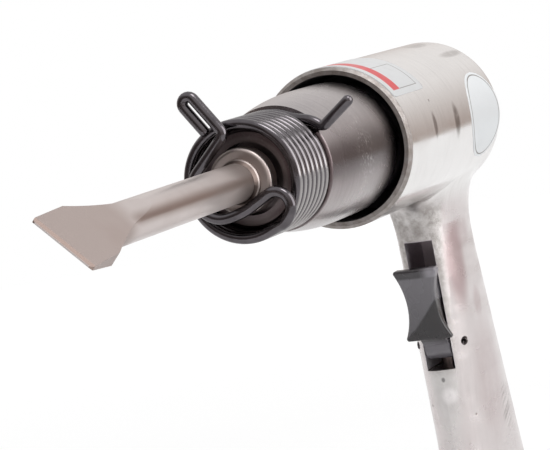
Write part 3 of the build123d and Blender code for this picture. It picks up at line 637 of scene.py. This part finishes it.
def casting_finish(colours):
    """Polished aluminium: clouded, duller at its moulded front and rim, with marks, pits, painted shade in
    the neck's crease and inside the trigger's slot, a painted pool of light at the slot's foot, and a bore
    painted dark as shade, sooty too.
    """
    finish = Finish("cast aluminium")
    x, y, z = finish.x, finish.y, finish.z
    mark, stain = colours.casting_mark, colours.casting_stain
    cloud = finish.noise(34, 4.0)
    mottle = finish.noise(420, 5.0, 0.65)
    sand = finish.noise(2000, 4.0, 0.7)
    polish = finish.noise(1300, 4.0, 0.6, stretch=(1.0, 0.07, 0.07))
    smear = finish.noise(150, 4.0, stretch=(0.25, 1.0, 1.0))
    cells = add(finish.tree, "TexVoronoi", {"Vector": finish.where, "Scale": 85.0, "Randomness": 1.0})
    pit = Value(finish.tree, cells.outputs["Distance"]).ease(0.05, 0.028)

    handle = z.below(100 * mm, 4 * mm)
    front = x.above(16 * mm, 1.2 * mm) * handle
    rim = x.above(rim_place - 1.2 * mm, 0.4 * mm)
    moulded = front.larger(rim)
    # Painted shade, sooty too: the housing's bore is dark and not metallic.
    in_bore = finish.axis_distance().below(20.92 * mm, 0.06 * mm) * x.above(44.5 * mm, 0.5 * mm)
    # Painted shade inside the trigger's slot.
    in_slot = y.size().below(4.58 * mm, 0.04 * mm) * x.above(2.95 * mm, 0.45 * mm)
    in_slot = in_slot * z.between(48.6 * mm, 88.7 * mm, 0.3 * mm)
    # Painted light: the slot's foot is paler and less metallic, as if lit.
    lit_foot_share = z.below(56 * mm, 4 * mm) * 0.25

    dull = finish.layered(
        mark,
        (mottle.ease(0.34, 0.66), colours.casting),
        (z.ease(95 * mm, 60 * mm, 0.66, 0.82), colours.casting_dull),
        (z.below(47.5 * mm, 2.5 * mm) * 0.7, colours.casting),
        (rim * 0.5, mark),
    )
    clouded = cloud.ease(0.52, 0.8, 0.0, 0.35) + polish.ease(0.4, 0.75, 0.0, 0.22)
    speckled = mottle.ease(0.25, 0.5, 0.3)
    marks = [
        (finish.patch(centre, reach) * speckled * share, tone)
        for centre, reach, tone, share in casting_marks(colours)
    ]
    slanted = finish.mapped(finish.where, Rotation=(0.0, -0.4, 0.0))
    scratch = finish.noise(1300, 2.0, stretch=(0.05, 0.2, 1.0), where=slanted)
    scratched = finish.patch((-9.6, 9.3, 30), (5.5, 6, 10)) * scratch.ease(0.45, 0.7) * 0.7
    streak = finish.patch((12.0, 9.5, 80), (7.0, 6, 19)) * z.below(92.6 * mm, 0.4 * mm) * 0.8
    colour = finish.layered(
        colours.casting,
        (clouded, colours.casting_dull),
        (handle * 0.36, stain),
        (moulded, dull),
        *marks,
        (scratched, mark),
        (streak, stain),
        (in_bore, colours.bore),
        (in_slot, finish.layered(colours.slot, (lit_foot_share, colours.slot_foot_light))),
        (pit * 0.6, mark),
    )

    rough = smear.ease(0.3, 0.72, 0.1, 0.24) + moulded * 0.2 + handle * 0.06 + rim * 0.15
    rough = rough + in_slot.larger(in_bore) * 0.3 + in_bore * 0.4
    bright = 1.0 - in_bore.larger(in_slot * lit_foot_share)
    normal = finish.bumped(cloud * 0.5 - pit, 0.08 * mm, 0.6)
    normal = finish.bumped(polish, 0.02 * mm, 0.35, normal)
    normal = finish.bumped(sand * moulded, 0.25 * mm, 0.5, normal)
    return finish.finished(Base_Color=colour, Roughness=rough, Metallic=bright, Normal=normal)


def turned_finish(name, colour, dull_share, roughness, scuff):
    """Turned metal: fine rings along the turning axis, clouded tone and stray bright scratches."""
    finish = Finish(name)
    rings = finish.noise(5200, 2.0, stretch=(1.0, 0.02, 0.02))
    cloud = finish.noise(70, 4.0)
    speck = finish.noise(2100, 2.0, 0.4, stretch=(1.0, 0.35, 0.35))
    tone = finish.layered(
        shaded(colour, dull_share),
        (cloud.ease(0.3, 0.7), shaded(colour, 1.12)),
        (speck.ease(0.72, 0.8, 0.0, 0.5), scuff),
    )
    rough = cloud.ease(0.25, 0.75, roughness - 0.06, roughness + 0.08)
    normal = finish.bumped(rings, 0.02 * mm, 0.7)
    return finish.finished(Base_Color=tone, Roughness=rough, Metallic=1.0, Normal=normal)


def barrel_finish(colours):
    """Turned dark steel: fine rings, a painted dark reflection along its sides, a painted highlight on its
    top and bottom, a browned nose painted lighter low down and in its recess, pale scuffs, and painted shade
    inside the housing, sooty too.
    """
    finish = Finish("barrel steel")
    rings = finish.noise(1900, 2.0, stretch=(1.0, 0.03, 0.03))
    cloud = finish.noise(60, 3.0)
    speck = finish.noise(2400, 3.0, 0.5, stretch=(1.0, 0.5, 0.5))
    rub = finish.noise(1700, 3.0, stretch=(1.0, 0.05, 0.05))
    height = finish.z - axis_height
    # Painted dark reflection: a band along the barrel's sides at the axis's height.
    side = height.between(-5.0 * mm, 5.6 * mm, 3.8 * mm)
    # Painted highlight: the barrel's top and bottom made paler.
    crown_highlight = height.size().above(10.5 * mm, 2.5 * mm)
    nose = finish.x.above(nose_place, 0.4 * mm)
    # Painted light: the nose made paler low down.
    under_nose = nose * height.below(-10.5 * mm, 1.5 * mm)
    # Painted light: the nose's recess round the chisel made paler.
    recess = nose * finish.axis_distance().below(11 * mm, 0.5 * mm)
    # Painted shade, sooty too: inside the housing the barrel is dark, matte and not metallic.
    open_air = finish.x.above(rim_place - 7 * mm, 4 * mm)
    middle = finish.patch((94.5, 18, 124), (7.5, 9, 16)).ease(0.0, 1.0, 0.05, 0.55)
    scuffed = speck.ease(0.57, 0.68).larger(rub.ease(0.6, 0.72, 0.0, 0.6)) * middle
    reflection_and_ring_tone = shaded(colours.nose, 0.55)
    tone = finish.layered(
        shaded(colours.barrel, 0.9),
        (cloud.ease(0.3, 0.7), shaded(colours.barrel, 1.1)),
        (side * 0.8, reflection_and_ring_tone),
        (crown_highlight * 0.2, colours.scuff),
        (rings.ease(0.4, 0.7, 0.0, 0.12), reflection_and_ring_tone),
        (nose, colours.nose),
        (under_nose * 0.5, colours.barrel),
        (recess * 0.3, colours.barrel),
        (scuffed, colours.scuff),
        (1.0 - open_air, colours.bore),
    )
    soot_rough = 0.9
    rough = cloud.ease(0.25, 0.75, 0.22, 0.3) + nose * 0.2
    rough = (rough - soot_rough) * open_air + soot_rough
    normal = finish.bumped(rings, 0.012 * mm, 0.6)
    return finish.finished(Base_Color=tone, Roughness=rough, Metallic=open_air, Normal=normal)


def wire_finish(colours):
    """Black oxide on drawn wire: fine lines along the wire, mottled sheen, and a painted highlight on the
    coil's crests, paler towards the bottom.
    """
    finish = Finish("spring wire")
    drawn = finish.noise(1.0, 3.0, stretch=(140.0, 26.0, 1.0), where=finish.uv)
    mottle = finish.noise(240, 4.0)
    # Painted highlight: the coil's crests paler, more so towards the bottom.
    crest = finish.axis_distance().between(15.95 * mm, 16.4 * mm, 0.15 * mm)
    crest = crest * finish.x.between(rim_place + 45 * mm, rim_place + 66 * mm, 0.5 * mm)
    crest = crest * finish.z.ease(axis_height + 5 * mm, axis_height - 5 * mm, 0.1, 0.75)
    tone = finish.layered(
        shaded(colours.wire, 0.8),
        (mottle.ease(0.3, 0.72), shaded(colours.wire, 1.15)),
        (drawn.ease(0.66, 0.8, 0.0, 0.3), colours.wire_worn_and_highlight),
        (crest, colours.wire_worn_and_highlight),
    )
    rough = mottle.ease(0.25, 0.8, 0.15, 0.25)
    normal = finish.bumped(drawn, 0.02 * mm, 0.4)
    return finish.finished(Base_Color=tone, Roughness=rough, Metallic=1.0, Normal=normal)


def chisel_finish(colours):
    """Ground chisel steel: a painted brown reflection along its side, darker towards its bronzed collar,
    painted shade in the collar's step, and a matte blade.
    """
    finish = Finish("chisel steel")
    x = finish.x
    ground = finish.noise(3800, 2.0, stretch=(0.03, 1.0, 1.0))
    cloud = finish.noise(60, 3.0)
    fleck = finish.noise(1600, 2.0, 0.4)
    height = finish.z - axis_height
    collar = x.below(collar_face, 0.4 * mm)
    # Painted shade in the step at the collar's face.
    slope = x.between(collar_face - 1.1 * mm, collar_face + 0.2 * mm, 0.15 * mm)
    blade = x.above(208 * mm, 4 * mm)
    bevel = x.above(chisel_tip - 1.2 * mm, 0.05 * mm)
    edge = x.above(chisel_tip - 0.04 * mm, 0.02 * mm)
    near = x.below(rim_place + 90.5 * mm, 7.5 * mm)
    sooty = near * 0.25
    # Painted reflection: a brown band along the chisel's side at the axis's height.
    side = height.between(-0.6 * mm, 1.9 * mm, 1.3 * mm) * (1.0 - blade) * 0.8
    scale_and_reflection_share = side.larger(sooty).larger(blade * 0.56 + bevel * 0.32)
    # Darker towards the collar, the side band most of all.
    darker_near_collar = (x.below(rim_place + 78.5 * mm, 6.5 * mm) * 0.65).larger(near * side * 0.85)
    soot_and_shade = shaded(colours.chisel_scale_and_reflection, 0.45)
    tone = finish.layered(
        colours.chisel,
        (scale_and_reflection_share, colours.chisel_scale_and_reflection),
        (darker_near_collar, soot_and_shade),
        (collar, colours.collar),
        (slope * 0.9, soot_and_shade),
        (cloud.ease(0.45, 0.75, 0.0, 0.18), colours.chisel_scale_and_reflection),
        (fleck.ease(0.7, 0.78) * sooty, colours.chisel_fleck),
        (edge, colours.chisel),
    )
    coated = (near * (1.0 - collar) * 0.7).larger(edge)
    rough = cloud.ease(0.3, 0.7, 0.28, 0.31) + blade.larger(collar) * 0.12 + coated * 0.12
    normal = finish.bumped(ground, 0.02 * mm, 0.4)
    return finish.finished(Base_Color=tone, Roughness=rough, Metallic=1.0 - coated, Normal=normal)


def trigger_finish(colours):
    """Satin coat with a fine grain: a painted dark reflection over its lower side, painted shade towards its
    bottom and on the lip's left, a painted highlight at the lip's corner, and lighter at the heel.
    """
    finish = Finish("trigger coat")
    y, z = finish.y, finish.z
    peel = finish.noise(1500, 2.0)
    rub = finish.noise(90, 3.0)
    # Painted dark reflection over the pad's lower side, with a slanting edge.
    dark_reflection = (z - y + rub * (5 * mm)).below(68.8 * mm, 0.6 * mm)
    # Painted shade: the pad darker towards its bottom.
    lower = z.below(69 * mm, 11 * mm) * z.above(56 * mm, 2 * mm)
    lip = z.above(78.4 * mm, 0.4 * mm)
    # Painted shade on the lip's left, standing in for its top face.
    dark_lip = lip * y.below(2.5 * mm, 1.5 * mm) * 0.8
    # Painted highlight at the lip's right corner.
    lip_highlight = lip * y.above(3.75 * mm, 1.25 * mm) * 0.7
    heel = z.below(57.5 * mm, 1.5 * mm) * 0.5
    tone = finish.layered(
        colours.trigger,
        (lower * 0.45, colours.trigger_shade),
        (dark_reflection.larger(dark_lip), colours.trigger_shade),
        (lip_highlight.larger(heel), shaded(colours.trigger, 2)),
    )
    rough = rub.ease(0.3, 0.75, 0.22, 0.3)
    normal = finish.bumped(peel, 0.02 * mm, 0.3)
    return finish.finished(Base_Color=tone, Roughness=rough, IOR=1.6, Normal=normal)


def rubber_finish(colours):
    """Matte rubber with a faint bloom and a fine grain."""
    finish = Finish("seal rubber")
    bloom = finish.noise(300, 4.0)
    grain = finish.noise(4000)
    tone = finish.layered(colours.rubber, (bloom.ease(0.4, 0.8), shaded(colours.rubber, 2.2)))
    rough = bloom.ease(0.3, 0.7, 0.55, 0.75)
    return finish.finished(Base_Color=tone, Roughness=rough, Normal=finish.bumped(grain, 0.02 * mm, 0.5))


def label_stock(name, stock, colours, printed):
    """Label stock, the layers of print that printed(finish, colours) gives, and faint grime over both."""
    finish = Finish(name)
    grime = finish.noise(220, 5.0, 0.65)
    print_layers = printed(finish, colours)
    tone = finish.layered(stock, *print_layers, (grime.ease(0.55, 0.8, 0.0, 0.18), colours.grime))
    rough = grime.ease(0.3, 0.7, 0.28, 0.42)
    return finish.finished(Base_Color=tone, Roughness=rough, Normal=finish.bumped(grime, 0.02 * mm, 0.4))


def seen_rays(tree):
    """One for what the camera, polish and glass see, nothing for the light that falls."""
    path = add(tree, "LightPath")
    seen = Value(tree, path.outputs["Is Camera Ray"])
    return seen.larger(path.outputs["Is Glossy Ray"]).larger(path.outputs["Is Transmission Ray"])


def bare_material(name):
    """A material with no nodes yet."""
    material = bpy.data.materials.new(name)
    material.use_nodes = True
    material.node_tree.nodes.clear()
    return material


class AIRHAMMER_OT_stage(bpy.types.Operator):
    """Makes the camera, the pale floor, the studio's lower wall and the light"""

    bl_idname = "air_hammer.stage"
    bl_label = "Stage"

    def execute(self, context):
        sizes = context.scene.air_hammer_stage
        self.make_camera(context, sizes)
        self.make_floor(sizes)
        self.make_wall(sizes)
        self.make_world(context, sizes)
        self.make_lamp(context, sizes)
        context.scene.view_settings.view_transform = "Standard"
        return {"FINISHED"}

    def make_camera(self, context, sizes):
        """Camera turned to azimuth and elevation, then rolled about its line of sight."""
        data = bpy.data.cameras.new("camera")
        data.sensor_width = 36.0
        data.lens = sizes.lens
        data.clip_start = 0.01
        camera = bpy.data.objects.new("camera", data)
        context.scene.collection.objects.link(camera)
        turn = Matrix.Rotation(sizes.azimuth, 4, "Z")
        tilt = Matrix.Rotation(math.pi / 2 - sizes.elevation, 4, "X")
        roll = Matrix.Rotation(sizes.roll, 4, "Z")
        camera.matrix_world = Matrix.Translation(sizes.camera_place) @ turn @ tilt @ roll
        context.scene.camera = camera

    def make_floor(self, sizes):
        """A flat disc of even rings, z = 0; seen directly or in polish it is white."""
        ring = np.linspace(0, 1, 25)[1:, None] * sizes.floor_radius
        points = ring_points(ring, round_angles(128), 0.0)
        floor = grid_mesh("floor", points[::-1], around=True, poles=(None, np.zeros(3)))
        material = bare_material("pale floor")
        tree = material.node_tree
        shader = Shader(tree)
        colour = shader.layered(sizes.floor_colour, (shader.noise(3.0), shaded(sizes.floor_colour, 0.98)))
        body = add(tree, "BsdfDiffuse", {"Color": colour})
        far = shader.length(shader.where).ease(0.2, sizes.floor_radius, 0.22, 0.37, shape="LINEAR")
        glow = add(tree, "Emission", {"Strength": seen_rays(tree) * far})
        both = add(tree, "AddShader", {0: body.outputs[0], 1: glow.outputs[0]})
        add(tree, "OutputMaterial", {"Surface": both.outputs[0]})
        floor.data.materials.append(material)

    def make_wall(self, sizes):
        """A round wall at the floor's edge, seen only in polish: dim at its foot, a window to the right."""
        height = np.linspace(0, 1, 9)[:, None] * 2.2 * sizes.wall_height
        points = ring_points(sizes.floor_radius * 1.002, round_angles(128), height)
        wall = grid_mesh("studio_wall", points[::-1], around=True)
        material = bare_material("studio wall")
        tree = material.node_tree
        shader = Shader(tree)
        turn = shader.y.step("ARCTAN2", shader.y, shader.x)
        left = turn.between(math.radians(-75), math.radians(2), math.radians(9))
        window = turn.between(math.radians(68), math.radians(118), math.radians(6))
        low = shader.z.ease(0.0, sizes.wall_height, shape="LINEAR")
        high = shader.z.ease(sizes.wall_height, 2.1 * sizes.wall_height, shape="LINEAR")
        colour = shader.layered(
            sizes.wall_foot,
            (low, sizes.wall_top),
            (high, white),
            (left * (1.0 - high), sizes.side_colour),
            (window, white),
        )
        bright = window.ease(0.0, 1.0, 1.0, sizes.window_light)
        glow = add(tree, "Emission", {"Color": colour, "Strength": bright})
        clear = add(tree, "BsdfTransparent")
        share = add(tree, "LightPath").outputs["Is Glossy Ray"]
        both = add(tree, "MixShader", {0: share, 1: clear.outputs[0], 2: glow.outputs[0]})
        add(tree, "OutputMaterial", {"Surface": both.outputs[0]})
        wall.data.materials.append(material)

    def make_world(self, context, sizes):
        """White where it is seen, a softer even light where it falls."""
        world = bpy.data.worlds.new("studio")
        world.use_nodes = True
        tree = world.node_tree
        tree.nodes.clear()
        strength = seen_rays(tree).ease(0.0, 1.0, sizes.sky_light, 1.0)
        light = add(tree, "Background", {"Color": white, "Strength": strength})
        add(tree, "OutputWorld", {"Surface": light.outputs[0]})
        context.scene.world = world

    def make_lamp(self, context, sizes):
        """One wide soft lamp above and in front."""
        data = bpy.data.lights.new("soft lamp", "AREA")
        data.shape = "DISK"
        data.size = sizes.lamp_size
        data.energy = sizes.lamp_power
        lamp = bpy.data.objects.new("soft lamp", data)
        context.scene.collection.objects.link(lamp)
        lamp.location = sizes.lamp_place
        aim = Vector(sizes.lamp_aim) - Vector(sizes.lamp_place)
        lamp.rotation_euler = aim.to_track_quat("-Z", "Y").to_euler()


class AIRHAMMER_OT_casting(bpy.types.Operator):
    """Finishes the cast body and its handle"""

    bl_idname = "air_hammer.casting"
    bl_label = "Casting"

    def execute(self, context):
        dress(["housing"], casting_finish(context.scene.air_hammer_finishes))
        return {"FINISHED"}


class AIRHAMMER_OT_barrel(bpy.types.Operator):
    """Finishes the turned barrel"""

    bl_idname = "air_hammer.barrel"
    bl_label = "Barrel"

    def execute(self, context):
        dress(["barrel"], barrel_finish(context.scene.air_hammer_finishes))
        return {"FINISHED"}


class AIRHAMMER_OT_chisel(bpy.types.Operator):
    """Finishes the chisel"""

    bl_idname = "air_hammer.chisel"
    bl_label = "Chisel"

    def execute(self, context):
        dress(["chisel"], chisel_finish(context.scene.air_hammer_finishes))
        return {"FINISHED"}


class AIRHAMMER_OT_trigger(bpy.types.Operator):
    """Finishes the trigger and its pin"""

    bl_idname = "air_hammer.trigger"
    bl_label = "Trigger"

    def execute(self, context):
        colours = context.scene.air_hammer_finishes
        dress(["trigger"], trigger_finish(colours))
        dress(["trigger_pin"], turned_finish("rolled pin steel", colours.wire, 0.7, 0.4, colours.scuff))
        return {"FINISHED"}


class AIRHAMMER_OT_springs(bpy.types.Operator):
    """Winds the retaining wire and the throttle's return spring"""

    bl_idname = "air_hammer.springs"
    bl_label = "Wire springs"

    def execute(self, context):
        sizes = context.scene.air_hammer_wire
        finish = wire_finish(context.scene.air_hammer_finishes)
        retainer = wire_tube("retaining_wire", retaining_path(sizes), sizes.wire_radius, 20)
        place_piece(retainer, "tool_body", finish, "retaining_spring")
        foot = np.array([0, 0, sizes.throttle_foot])
        upward, side = np.array([0.0, 0.0, 1.0]), np.array([1.0, 0.0, 0.0])
        turn = 2 * math.pi * sizes.throttle_turns
        path, _, _ = coil_points(foot, upward, side, sizes.throttle_radius, sizes.throttle_pitch, turn)
        throttle = wire_tube("throttle_wire", path, sizes.throttle_wire, 14)
        place_piece(throttle, "tool_body", finish, "throttle_spring")
        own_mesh(throttle)
        return {"FINISHED"}


class AIRHAMMER_OT_works(bpy.types.Operator):
    """Finishes the hammer piston, the valve box, the throttle and their seals"""

    bl_idname = "air_hammer.works"
    bl_label = "Inner works"

    def execute(self, context):
        colours = context.scene.air_hammer_finishes
        steel = turned_finish("machined steel", colours.steel, 0.86, 0.3, colours.scuff)
        brass = turned_finish("turned brass", colours.brass, 0.85, 0.3, colours.scuff)
        dress(["piston", "valve_front", "valve_plate", "valve_rear", "valve_dowels"], steel)
        dress(["throttle_stem", "inlet_bushing"], steel)
        dress(["throttle_bush", "inlet_strainer"], brass)
        seals = ["barrel_seal", "rear_gasket", "stem_seal", "poppet_seal", "inlet_gasket"]
        dress(seals, rubber_finish(colours))
        return {"FINISHED"}


class AIRHAMMER_OT_inlet_thread(bpy.types.Operator):
    """Cuts the pipe thread in the inlet's bore"""

    bl_idname = "air_hammer.inlet_thread"
    bl_label = "Inlet thread"

    def execute(self, context):
        sizes = context.scene.air_hammer_labels
        finish = bpy.data.materials["machined steel"]
        place_piece(self.make_thread(sizes), "tool_body", finish)
        return {"FINISHED"}

    def make_thread(self, sizes):
        """Radius = bore - depth (1 - |2 saw - 1|), saw = fraction of z / pitch - a / turn.

        The ridge is made a little fuller and flat at its crest and root, and fades out at both ends.
        Its back lies in the metal.
        """
        bore, back = 5.58 * mm, 5.73 * mm
        low, high = 0.5 * mm, 11.2 * mm
        steps_per_turn, sides = 14, 72
        z = np.linspace(low, high, steps_per_turn * int((high - low) / sizes.thread_pitch))[:, None]
        angle = round_angles(sides)[None]
        saw = np.mod(z / sizes.thread_pitch - angle / (2 * math.pi), 1.0)
        fade = np.clip(np.minimum(z - low, high - z) / (0.6 * sizes.thread_pitch), 0, 1)
        ridge = np.clip(1.25 * (1 - np.abs(2 * saw - 1)) - 0.12, 0, 1)
        radius = bore - sizes.thread_depth * fade * ridge
        radius = np.vstack([radius, np.full((2, sides), back)])
        z = np.vstack([z, [[high], [low]]])
        points = ring_points(radius, angle, z)
        return grid_mesh("inlet_thread", points[::-1], around=True, along=True)


class AIRHAMMER_OT_labels(bpy.types.Operator):
    """Sticks the two blank labels on the case"""

    bl_idname = "air_hammer.labels"
    bl_label = "Blank labels"

    def execute(self, context):
        sizes = context.scene.air_hammer_labels
        colours = context.scene.air_hammer_finishes
        badge = label_stock("badge stock", colours.badge, colours, self.badge_print)
        label = label_stock("label stock", colours.label, colours, self.label_print)
        place_piece(self.make_badge(sizes), "tool_body", badge)
        place_piece(self.make_label(sizes), "tool_body", label)
        return {"FINISHED"}

    def badge_print(self, finish, colours):
        """A thin ring near the badge's edge."""
        from_middle = finish.mapped(finish.uv, Location=(-0.5, -0.5, 0.0))
        ring = finish.length(from_middle).between(0.455, 0.468, 0.004)
        return [(ring, colours.label_line)]

    def label_print(self, finish, colours):
        """A plain stripe near the front edge, and a thin frame behind it."""
        u, v, _ = finish.parts(finish.uv)
        stripe = u.between(0.69, 0.89, 0.006) * v.between(0.05, 0.95, 0.002)
        outer = u.between(0.125, 0.69, 0.004) * v.between(0.05, 0.31, 0.001)
        inner = u.between(0.14, 0.69, 0.004) * v.between(0.055, 0.305, 0.001)
        return [(stripe, colours.stripe), (outer - inner, colours.label_line)]

    def make_badge(self, sizes):
        """A round patch: (walk, arc) = (r cos a, r sin a) about its middle on the case, its edge rounded."""
        share = np.concatenate([np.linspace(0, 0.985, 28)[1:], [0.995, 1.0, 1.0]])[:, None]
        lift = np.full((len(share), 1), sizes.label_lift)
        lift[-3:, 0] = sizes.label_lift * np.array([0.93, 0.7, -edge_sink])
        angle = round_angles(120)[None]
        across, over = share * np.cos(angle), share * np.sin(angle)
        walk = sizes.badge_place + sizes.badge_radius * across
        turn = sizes.badge_angle + sizes.badge_radius * over / case_radius
        points = case_point(walk, turn, lift)
        middle = case_point(sizes.badge_place, sizes.badge_angle, sizes.label_lift)
        uv = np.stack([0.5 + across / 2, 0.5 + over / 2], axis=-1)
        return grid_mesh("round_badge", points, around=True, poles=(middle, None), uv=uv)

    def make_label(self, sizes):
        """A patch over the case: walk from back to front, angle from low to high, its corners rounded."""
        middle = (sizes.label_back + sizes.label_front) / 2
        half = (sizes.label_front - sizes.label_back) / 2
        tall = (sizes.label_high - sizes.label_low) * case_radius
        corner = sizes.label_corner
        curve = corner * (1 - np.cos(np.linspace(0, math.pi / 2, 9)))
        height = np.concatenate([curve, np.linspace(corner, tall - corner, 60)[1:-1], tall - curve[::-1]])
        edge = np.clip(corner - np.minimum(height, tall - height), 0, None)
        reach = half - corner + np.sqrt(np.clip(corner**2 - edge**2, 0, None))
        height = np.concatenate([[0], height, [tall]])
        reach = np.concatenate([reach[:1], reach, reach[-1:]])
        share = np.concatenate([[-1], np.linspace(-1, 1, 41), [1]])
        walk = middle + share[:, None] * reach[None]
        angle = sizes.label_low + height / case_radius
        lift = np.full(walk.shape, sizes.label_lift)
        lift[[0, -1], :] = -edge_sink * sizes.label_lift
        lift[:, [0, -1]] = -edge_sink * sizes.label_lift
        points = case_point(walk, angle, lift)
        across = (walk - middle) / (2 * half) + 0.5
        uv = np.stack([across, np.broadcast_to(height / tall, walk.shape)], axis=-1)
        return grid_mesh("top_label", points, uv=uv)


class AIRHAMMER_PT_panel(bpy.types.Panel):
    """Lists the pieces and their settings"""

    bl_label = "Air hammer"
    bl_idname = "AIRHAMMER_PT_panel"
    bl_space_type = "VIEW_3D"
    bl_region_type = "UI"
    bl_category = "Air hammer"

    def draw(self, context):
        for operator in operators:
            self.layout.operator(operator.bl_idname)
        for name in setting_groups:
            group = getattr(context.scene, name)
            box = self.layout.box()
            for key in group.bl_rna.properties.keys():
                if key not in ("rna_type", "name"):
                    box.prop(group, key)


setting_groups = {
    "air_hammer_stage": AirHammerStage,
    "air_hammer_finishes": AirHammerFinishes,
    "air_hammer_wire": AirHammerWire,
    "air_hammer_labels": AirHammerLabels,
}

operators = [
    AIRHAMMER_OT_stage,
    AIRHAMMER_OT_casting,
    AIRHAMMER_OT_barrel,
    AIRHAMMER_OT_chisel,
    AIRHAMMER_OT_trigger,
    AIRHAMMER_OT_springs,
    AIRHAMMER_OT_works,
    AIRHAMMER_OT_inlet_thread,
    AIRHAMMER_OT_labels,
]


def register():
    for made in (*setting_groups.values(), *operators, AIRHAMMER_PT_panel):
        bpy.utils.register_class(made)
    for name, group in setting_groups.items():
        setattr(bpy.types.Scene, name, bpy.props.PointerProperty(type=group))


def unregister():
    for name in setting_groups:
        delattr(bpy.types.Scene, name)
    for made in (AIRHAMMER_PT_panel, *reversed(operators), *reversed(setting_groups.values())):
        bpy.utils.unregister_class(made)


def main():
    register()
    bpy.ops.air_hammer.stage()
    bpy.ops.air_hammer.casting()
    bpy.ops.air_hammer.barrel()
    bpy.ops.air_hammer.chisel()
    bpy.ops.air_hammer.trigger()
    bpy.ops.air_hammer.springs()
    bpy.ops.air_hammer.works()
    bpy.ops.air_hammer.inlet_thread()
    bpy.ops.air_hammer.labels()


if __name__ == "__main__":
    main()
